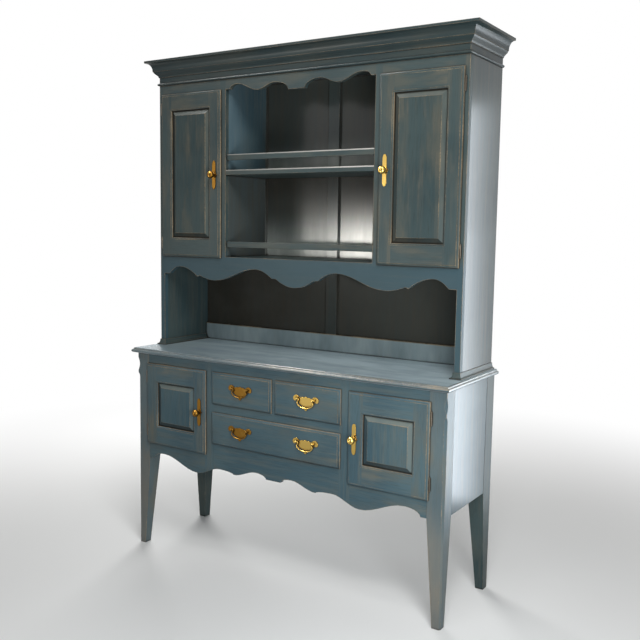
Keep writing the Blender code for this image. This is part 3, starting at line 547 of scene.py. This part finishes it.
# Finishes.
class Brushwork:
    """The figures in one coat of paint. The patches and specks vary about 0, the others about a half."""

    def __init__(self, finish, grain, uprights):
        self.place = finish.place()
        turned = uprights(finish, self.place) if uprights else None
        for name, (drawn, *numbers) in FIGURES.items():
            along = self.drawn_out(finish, grain, drawn)
            if drawn and turned:
                along = finish.vector(turned, along, self.drawn_out(finish, ALONG_Z, drawn))
            setattr(self, name, finish.noise(along, *numbers))
        self.patch = self.patch - 0.5
        self.speck = self.speck - 0.5

    def drawn_out(self, finish, grain, drawn):
        """The place drawn out along the grain, by 1 for fibres and less for clouds."""
        return finish.stretch(self.place, tuple(share ** drawn for share in grain)) if drawn else self.place


def rubbed_edges(finish, work, hollow, wear, calm, worn):
    """How far the paint is rubbed through: on sharp edges in the open, and on worn mouldings."""
    tilt = 1.85 * finish.larger(finish.turn_at_edge(PAINT_ROUND), 0.0) ** 0.5
    if calm:
        tilt = tilt * (1.0 - calm(finish, work.place))
    ragged = tilt + 0.9 * work.speck + 1.1 * work.patch + 0.45 * (wear - 1.0)
    edge = finish.step(ragged, 0.34, 0.80) * (1.0 - finish.step(hollow, 0.25, 0.5))
    if worn:
        rub = worn(finish, work.place) * (0.62 + 1.1 * work.patch + 0.7 * work.speck)
        edge = finish.larger(edge, finish.step(rub, 0.02, 0.95))
    return edge


def blue_coat(finish, work, blues, wear):
    """The paint itself: two blues that drift into each other, streaks of a third, brush marks, and clouds
    and streaks where it has thinned."""
    faded = finish.step(work.cloud, 0.47, 0.70) * (0.55 * wear)
    streaked = finish.step(work.streak + 0.8 * work.patch, 0.60, 0.86) * (0.28 * wear)
    paint = finish.colour(finish.step(work.drift, 0.38, 0.62), blues[0], blues[1])
    paint = finish.colour(finish.step(work.streak, 0.42, 0.72) * 0.6, paint, blues[2])
    paint = finish.colour(finish.step(work.brush, 0.45, 0.75) * 0.22, paint, DARK_GLAZE_AND_SHADE)
    paint = finish.colour(faded * (0.8 + 0.6 * work.speck), paint, OLIVE_CLOUD)
    return finish.colour(streaked * (0.8 + 0.9 * work.speck), paint, TAN_STREAK)


def painted(
    name, blues, grain, wear=1.0, uprights=None, worn=None, calm=None, pale=None, pale_tone=LIT_PALE_BLUE,
    smoke_and_shade=None, dark=None, gloss=None, satin=PAINT_SATIN, shine=PAINT_SHINE, relief=PAINT_RELIEF, dust=0.0
):
    """Satin blue paint, rubbed through to the wood on edges and in streaks, with dark glazing and painted
    shade in the hollows. Uprights marks the members whose grain stands upright, worn a rubbed moulding,
    calm the edges that run flush into a neighbour and stay painted, pale a face of another tone: wear on
    the legs, a bluer rail, and painted light and highlights on other pieces. smoke_and_shade marks a face
    darkened, smoked with age on the back's fields and as painted shade on the lower partitions, dark where
    the glazing lies thick and where painted shade falls, and gloss where the paint kept a shiny coat. Dust
    is a film that shows at a low angle."""
    material, finish = new_finish(name)
    work = Brushwork(finish, grain, uprights)
    hollow = finish.hollow(HOLLOW_REACH)
    edge = rubbed_edges(finish, work, hollow, wear, calm, worn)
    # Dark glazing and painted shade where neighbours stand close.
    glaze_and_shade = finish.step(hollow + 0.3 * work.patch, 0.15, 0.58) * 0.95
    if dark:
        glaze_and_shade = finish.larger(glaze_and_shade, dark(finish, work.place) * (0.95 + 0.8 * work.patch))

    paint = blue_coat(finish, work, blues, wear)
    # A paler tone: wear on the legs, a bluer rail, and painted light and highlights on other pieces.
    if pale:
        tone = pale_tone(finish, work.place) if callable(pale_tone) else pale_tone
        paint = finish.colour(pale(finish, work.place) * (0.7 + 0.9 * (work.cloud - 0.5)), paint, tone)
    # Smoked with age on the back's fields; painted shade on the lower partitions.
    if smoke_and_shade:
        paint = finish.colour(smoke_and_shade(finish, work.place) * (0.7 + 0.5 * (work.streak - 0.5)), paint, SMOKED_AND_SHADED)
    wood = finish.colour(finish.step(work.patch + 0.5 * work.speck, -0.15, 0.18), BROWN_WOOD, RUBBED_WOOD)
    colour = finish.colour(edge * 0.9, paint, wood)
    height = work.brush * 0.6 + work.speck * 0.25 - edge * 0.5
    sockets = {
        "Base Color": finish.colour(glaze_and_shade, colour, DARK_GLAZE_AND_SHADE),
        "Roughness": satin + relief * (1.2 * (work.brush - 0.5) + work.patch) + 0.14 * edge,
        "Specular IOR Level": shine,
        "Normal": finish.bumped(height, relief, BRUSH_DEPTH),
    }
    if gloss:
        sockets["Coat Weight"] = BACK_GLOSS * gloss(finish, work.place)
        sockets["Coat Roughness"] = satin
    if dust:
        sockets["Sheen Weight"] = dust
        sockets["Sheen Tint"] = DUST
    finish.surface(sockets)
    return material


def polished_brass():
    """Yellow brass, brown with age and painted shade in the hollows, and darker towards the cabinet's left
    as a painted dim reflection.
    """
    material, finish = new_finish("polished_brass")
    place = finish.place()
    cloud = finish.noise(place, 60.0, 3.0, 0.6) - 0.5
    scratch = finish.noise(finish.stretch(place, ALONG_SCRATCH), 1500.0, 2.0)
    hollow = finish.hollow(BRASS_REACH)
    # Darker towards the cabinet's left: a painted dim reflection.
    left = 1.0 - finish.step(finish.axes(place)[0], *DIM_BRASS_SPAN)
    aged_and_shaded = finish.step(1.9 * hollow + 0.5 * cloud + 0.95 * left, 0.20, 0.90)
    dull = finish.colour(finish.step(hollow + 0.3 * cloud, 0.18, 0.46), AGED_SHADED_BRASS, DARK_BRASS)
    finish.surface({
        "Base Color": finish.colour(aged_and_shaded, BRASS, dull),
        "Metallic": 1.0,
        "Roughness": 0.19 + 0.16 * aged_and_shaded + 0.10 * (scratch - 0.5),
        "Normal": finish.bumped(scratch, 0.06, SCRATCH_DEPTH, finish.rounded(BRASS_ROUND)),
    })
    return material


def hinge_bronze():
    """Dark bronze, rubbed bright where it stands proud."""
    material, finish = new_finish("hinge_bronze")
    cloud = finish.noise(finish.place(), 140.0, 3.0, 0.6)
    edge = finish.step(finish.turn_at_edge(HINGE_ROUND) + 0.25 * (cloud - 0.5), 0.03, 0.20)
    finish.surface({
        "Base Color": finish.colour(edge * 0.8, BRONZE, RUBBED_BRONZE),
        "Metallic": 0.9,
        "Roughness": 0.36 + 0.25 * (cloud - 0.5),
        "Normal": finish.bumped(cloud, 0.10, CAST_DEPTH),
    })
    return material


def bare_wood(name, grain):
    """Unpainted drawer wood with its grain."""
    material, finish = new_finish(name)
    fibre = finish.stretch(finish.place(), grain)
    sway = finish.noise(fibre, 14.0, 2.0)
    rings = finish.noise(fibre, 120.0 + 40.0 * sway, 4.0, 0.65)
    pore = finish.noise(fibre, 900.0, 2.0)
    colour = finish.colour(finish.step(rings, 0.38, 0.66) * 0.7, PALE_WOOD, GRAIN_WOOD)
    colour = finish.colour(finish.step(pore, 0.58, 0.72) * 0.35, colour, BROWN_WOOD)
    shade = finish.step(finish.hollow(HOLLOW_REACH), 0.25, 0.9) * 0.6
    finish.surface({
        "Base Color": finish.colour(shade, colour, BROWN_WOOD),
        "Roughness": 0.55 + 0.2 * (rings - 0.5),
        "Normal": finish.bumped(rings + 0.5 * pore, 0.12, BRUSH_DEPTH),
    })
    return material


def base_finishes():
    """The finishes of the base, by the nodes that take them."""
    side = painted(
        "base_side_paint", BASE_BLUES, ALONG_Z, wear=0.1, calm=everywhere, satin=SIDE_SATIN,
        shine=SIDE_SHINE, relief=SIDE_RELIEF
    )
    return {
        "front_leg_*": painted(
            "leg_paint", BASE_BLUES, ALONG_Z, wear=1.2, calm=leg_joints, pale=lower_legs,
            pale_tone=WORN_LEG, shine=SIDE_SHINE
        ),
        # The rear legs take the darker hutch blues as painted shade.
        "rear_leg_*": painted("rear_leg_paint", HUTCH_BLUES, ALONG_Z, wear=0.5, calm=leg_joints),
        "base_side_*": side,
        "base_back": side,
        "base_floor": painted("base_level_paint", BASE_BLUES, ALONG_X, wear=0.6),
        "base_face_frame": painted(
            "base_frame_paint", BASE_BLUES, ALONG_X, wear=0.85, uprights=base_uprights, calm=frame_ends
        ),
        # The top's level face is paler, as painted light.
        "base_top": painted(
            "serving_top_paint", BASE_BLUES, ALONG_X, wear=0.9, worn=top_edge, pale=lit_serving_face,
            dark=shaded_undersides, satin=TOP_SATIN, shine=TOP_SHINE, dust=TOP_DUST
        ),
        "drawer_*_front": painted(
            "drawer_front_paint", BASE_BLUES, ALONG_X, wear=0.9, worn=moulded_edge, dark=shaded_undersides
        ),
    }


def hutch_finishes():
    """The finishes of the hutch, by the nodes that take them."""
    level = painted(
        "hutch_level_paint", HUTCH_BLUES, ALONG_X, wear=0.7, pale=rail_highlights, pale_tone=RAIL_HIGHLIGHT,
        satin=HUTCH_SATIN
    )
    return {
        "hutch_side_left": painted(
            "left_side_paint", HUTCH_BLUES, ALONG_Z, wear=0.1, calm=corner_joint, satin=HUTCH_SATIN,
            relief=SIDE_RELIEF
        ),
        "hutch_side_right": painted(
            "hutch_side_paint", HUTCH_BLUES, ALONG_Z, wear=0.1, calm=corner_joint, satin=SIDE_SATIN,
            shine=SIDE_SHINE, relief=SIDE_RELIEF
        ),
        "hutch_shoe_*": painted("hutch_shoe_paint", HUTCH_BLUES, ALONG_Y, wear=0.7),
        "hutch_face_frame": painted(
            "hutch_frame_paint", HUTCH_BLUES, ALONG_X, wear=0.85, uprights=hutch_uprights,
            calm=corner_joint, pale=frame_middle_rail, pale_tone=RAIL_BLUE, satin=HUTCH_SATIN
        ),
        # The back carries painted light low in the shelves and on its bottom rail, and painted shade behind
        # the serving space and under the shelf.
        "hutch_back": painted(
            "hutch_back_paint", HUTCH_BLUES, ALONG_Z, wear=0.6, worn=back_ledge, pale=painted_back_light,
            pale_tone=back_light_tone, smoke_and_shade=sunk_fields, dark=shaded_back, gloss=behind_shelves,
            satin=BACK_SATIN, shine=BACK_SHINE
        ),
        "hutch_floor": level,
        "hutch_shelf": level,
        "plate_rail_*": level,
        # The cornice is painted darker, as shade.
        "cornice": painted(
            "cornice_paint", SHADED_CORNICE_BLUES, ALONG_X, wear=0.35, satin=CORNICE_SATIN, shine=CORNICE_SHINE
        ),
        # The partitions take the paler base blues as painted light, with more at the upper front, and
        # painted shade by the lower shelf.
        "*_partition_*": painted(
            "partition_paint", BASE_BLUES, ALONG_Z, wear=0.5, pale=lit_partition_front,
            pale_tone=LIT_PARTITION, smoke_and_shade=shaded_lower_partition
        ),
    }


def door_finishes(unit, blues, bevel):
    """The finishes of a pair of doors, by the nodes that take them."""
    return {
        unit + "_door_*_frame": painted(
            unit + "_door_paint", blues, ALONG_X, uprights=door_uprights(unit), worn=moulded_edge,
            dark=shaded_undersides
        ),
        # Panels carry painted light on their upper and right bevels and painted shade on the lower and left
        # ones.
        unit + "_door_*_panel": painted(
            unit + "_panel_paint", blues, ALONG_Z, pale=lit_bevels, pale_tone=bevel,
            dark=panel_margin(unit), shine=PANEL_SHINE
        ),
    }


def dress_nodes():
    """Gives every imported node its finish."""
    brass = polished_brass()
    drawer_wood = bare_wood("drawer_wood", ALONG_Y)
    finishes = {
        "*_handle": brass,
        "*_pull_plate*": brass,
        "*_bail*": brass,
        "*_hinge_*": hinge_bronze(),
        "drawer_*_box": drawer_wood,
        "drawer_centre_runner": drawer_wood,
        **base_finishes(),
        **hutch_finishes(),
        **door_finishes("base", BASE_BLUES, BASE_LIT_BEVEL),
        **door_finishes("hutch", HUTCH_BLUES, HUTCH_LIT_BEVEL),
    }
    for name, node in NODES.items():
        finish = next(finish for pattern, finish in finishes.items() if fnmatch(name, pattern))
        node.material_slots[0].link = "OBJECT"
        node.material_slots[0].material = finish


# Edges.
MOULDED = ("door", "drawer", "cornice", "base_top", "shoe", "hinge")
FLUSH = ("leg", "side", "face_frame")
EASED = 0.0012
EASED_AT_JOINTS = 0.0005
EASED_FROM = math.radians(40.0)
SOFT_BELOW = math.radians(50.0)
CRISP_BELOW = math.radians(12.0)
FLAT_WITHIN = math.radians(0.5)
SAME_CORNER = 0.00001


def shape_nodes(name, build):
    """A Geometry Nodes tree: build takes the tree and its incoming geometry, and gives the outgoing one."""
    group = bpy.data.node_groups.new(name, "GeometryNodeTree")
    group.interface.new_socket("Geometry", in_out="INPUT", socket_type="NodeSocketGeometry")
    group.interface.new_socket("Geometry", in_out="OUTPUT", socket_type="NodeSocketGeometry")
    entry = group.nodes.new("NodeGroupInput")
    leave = group.nodes.new("NodeGroupOutput")
    group.links.new(build(group, entry.outputs[0]), leave.inputs[0])
    return group


def joined_corners(group, shape):
    """Drops the imported normals and joins the corners that the file keeps apart."""
    drop = group.nodes.new("GeometryNodeRemoveAttribute")
    drop.inputs["Name"].default_value = "custom_normal"
    weld = group.nodes.new("GeometryNodeMergeByDistance")
    weld.inputs["Distance"].default_value = SAME_CORNER
    group.links.new(shape, drop.inputs["Geometry"])
    group.links.new(drop.outputs[0], weld.inputs["Geometry"])
    return weld.outputs[0]


def smooth_below(limit):
    """Builds smooth shading over all but the edges that turn by more than that."""

    def build(group, shape):
        angle = group.nodes.new("GeometryNodeInputMeshEdgeAngle")
        gentle = group.nodes.new("FunctionNodeCompare")
        gentle.operation = "LESS_EQUAL"
        gentle.inputs["B"].default_value = limit
        faces = group.nodes.new("GeometryNodeSetShadeSmooth")
        faces.domain = "FACE"
        edges = group.nodes.new("GeometryNodeSetShadeSmooth")
        edges.domain = "EDGE"
        group.links.new(shape, faces.inputs["Geometry"])
        group.links.new(faces.outputs[0], edges.inputs["Geometry"])
        group.links.new(angle.outputs["Unsigned Angle"], gentle.inputs["A"])
        group.links.new(gentle.outputs[0], edges.inputs["Shade Smooth"])
        return edges.outputs[0]

    return build


def soften_nodes():
    """Eased edges on the boards, and smooth shading on every node, crisp at the bevels of the panels."""
    joined = shape_nodes("joined_corners", joined_corners)
    soft = shape_nodes("soft_shading", smooth_below(SOFT_BELOW))
    crisp = shape_nodes("crisp_shading", smooth_below(CRISP_BELOW))
    for name, node in NODES.items():
        node.modifiers.new("joined_corners", "NODES").node_group = joined
        if not any(word in name for word in MOULDED):
            flat = node.modifiers.new("whole_faces", "DECIMATE")
            flat.decimate_type = "DISSOLVE"
            flat.angle_limit = FLAT_WITHIN
            eased = node.modifiers.new("eased_edges", "BEVEL")
            eased.width = EASED_AT_JOINTS if any(word in name for word in FLUSH) else EASED
            eased.segments = 2
            eased.limit_method = "ANGLE"
            eased.angle_limit = EASED_FROM
        node.modifiers.new("shading", "NODES").node_group = crisp if name.endswith("_panel") else soft
        weighted = node.modifiers.new("weighted_normals", "WEIGHTED_NORMAL")
        weighted.keep_sharp = True


# Stage.
FLOOR_REACH = 14.0
FLOOR_FADE = (1.0, 3.4)  # distances from the cabinet over which the floor fades to white
SKY_LIGHT = 0.13
CAMERA_PLACE = (1.7517, -2.5980, 1.3259)
CAMERA_YAW = 0.5722
CAMERA_PITCH = -0.1123
CAMERA_ROLL = 0.0151
CAMERA_LENS = 46.40
CAMERA_SENSOR = 36.0


def seen_directly(finish):
    """1 for rays from the camera and for those that a shiny or clear surface sends on."""
    rays = finish.node("LightPath").plug.node.outputs
    names = ("Is Camera Ray", "Is Glossy Ray", "Is Transmission Ray")
    camera, glossy, clear = [Socket(finish, rays[name]) for name in names]
    return finish.larger(camera, finish.larger(glossy, clear))


def add_floor():
    """A pale floor that fades into the white background."""
    mesh = bpy.data.meshes.new("floor")
    far = FLOOR_REACH
    corners = [(-far, -far, 0.0), (far, -far, 0.0), (far, far, 0.0), (-far, far, 0.0)]
    mesh.from_pydata(corners, [], [(0, 1, 2, 3)])
    floor = bpy.data.objects.new("floor", mesh)
    bpy.context.scene.collection.objects.link(floor)
    material, finish = new_finish("pale_floor")
    place = finish.place()
    distance = finish.node("VectorMath", {"operation": "LENGTH"}, {0: place}, out="Value")
    cloud = finish.noise(place, 1.6, 3.0)
    grey = finish.colour(finish.step(cloud, 0.3, 0.7) * 0.25, FLOOR_GREY, CLOUDED_GREY)
    seen = seen_directly(finish)
    matte = finish.node("BsdfDiffuse", None, {"Color": finish.colour(seen, FLOOR_BOUNCE, grey)})
    white = finish.node("Emission", None, {"Color": WHITE, "Strength": 1.0})
    far_off = finish.step(distance, *FLOOR_FADE) * seen
    mixed = finish.node("MixShader", None, {0: far_off, 1: matte, 2: white})
    finish.node("OutputMaterial", None, {"Surface": mixed})
    mesh.materials.append(material)


def add_world():
    """Soft white light from all round, and a white background."""
    world = bpy.data.worlds.new("studio")
    bpy.context.scene.world = world
    finish = Finish(world)
    strength = SKY_LIGHT + (1.0 - SKY_LIGHT) * seen_directly(finish)
    sky = finish.node("Background", None, {"Color": WHITE, "Strength": strength})
    finish.node("OutputWorld", None, {"Surface": sky})


def add_softbox(name, place, aim, wide, high, glow, tint=WHITE, lights="both"):
    """A soft lamp at place, turned to aim, of that brightness, unseen by the camera. One for gloss alone
    shows in shiny surfaces, as a white card beside the camera does; a matte one lights without showing in
    them."""
    lamp = bpy.data.lights.new(name, "AREA")
    lamp.shape = "RECTANGLE"
    lamp.size = wide
    lamp.size_y = high
    lamp.energy = glow * math.pi * wide * high
    lamp.color = tint
    box = bpy.data.objects.new(name, lamp)
    box.location = place
    toward = Vector(aim) - Vector(place)
    box.rotation_euler = toward.to_track_quat("-Z", "Y").to_euler()
    box.visible_camera = False
    box.visible_diffuse = lights != "gloss"
    box.visible_glossy = lights != "matte"
    bpy.context.scene.collection.objects.link(box)


def add_lights():
    """Lamps above, in front and behind, and cards for the sheen of the side, the top's nose and the back."""
    add_softbox("key_softbox", (1.70, -1.90, 3.50), (0.0, -0.1, 0.9), 1.0, 0.9, 14.0)
    add_softbox("overhead_softbox", (0.60, -0.95, 3.30), (0.2, -0.1, 0.8), 1.0, 0.5, 7.0)
    add_softbox("right_front_softbox", (1.45, -1.55, 0.85), (0.0, -0.1, 0.9), 1.0, 1.0, 10.4, COOL)
    add_softbox("left_rear_softbox", (-2.2, 2.2, 1.7), (0.0, 0.0, 1.0), 1.8, 1.8, 9.0, lights="matte")
    add_softbox("side_card", (1.40, 0.91, 0.95), (0.7, 0.0, 0.95), 0.65, 1.9, 8.0, SKY, "gloss")
    add_softbox("low_side_card", (1.39, 0.90, 0.66), (0.7, 0.0, 0.66), 0.65, 1.3, 2.0, SKY, "gloss")
    add_softbox("nose_card", (-1.15, -0.7, 3.0), (0.2, -0.2, 0.8), 1.2, 0.7, 40.0, lights="gloss")
    add_softbox("back_card", (-2.36, -4.2, 1.15), (0.15, 0.21, 1.25), 0.40, 0.30, 84.0, WARM, "gloss")
    add_softbox("low_back_card", (-3.00, -4.2, 1.15), (-0.1, 0.21, 1.26), 1.30, 0.30, 13.0, WARM, "gloss")


def add_camera():
    """The camera where the photograph was taken from."""
    cos, sin = math.cos, math.sin
    level = Vector((cos(CAMERA_YAW), sin(CAMERA_YAW), 0.0))
    ahead = Vector((-sin(CAMERA_YAW), cos(CAMERA_YAW), 0.0))
    forward = ahead * cos(CAMERA_PITCH) + Vector((0.0, 0.0, sin(CAMERA_PITCH)))
    upward = level.cross(forward)
    right = level * cos(CAMERA_ROLL) + upward * sin(CAMERA_ROLL)
    upward = upward * cos(CAMERA_ROLL) - level * sin(CAMERA_ROLL)
    turn = Matrix((right, upward, -forward)).transposed().to_4x4()
    lens = bpy.data.cameras.new("camera")
    lens.lens = CAMERA_LENS
    lens.sensor_width = CAMERA_SENSOR
    camera = bpy.data.objects.new("camera", lens)
    camera.matrix_world = Matrix.Translation(CAMERA_PLACE) @ turn
    bpy.context.scene.collection.objects.link(camera)
    bpy.context.scene.camera = camera


dress_nodes()
soften_nodes()
add_floor()
add_world()
add_lights()
add_camera()
bpy.context.scene.view_settings.view_transform = "Standard"
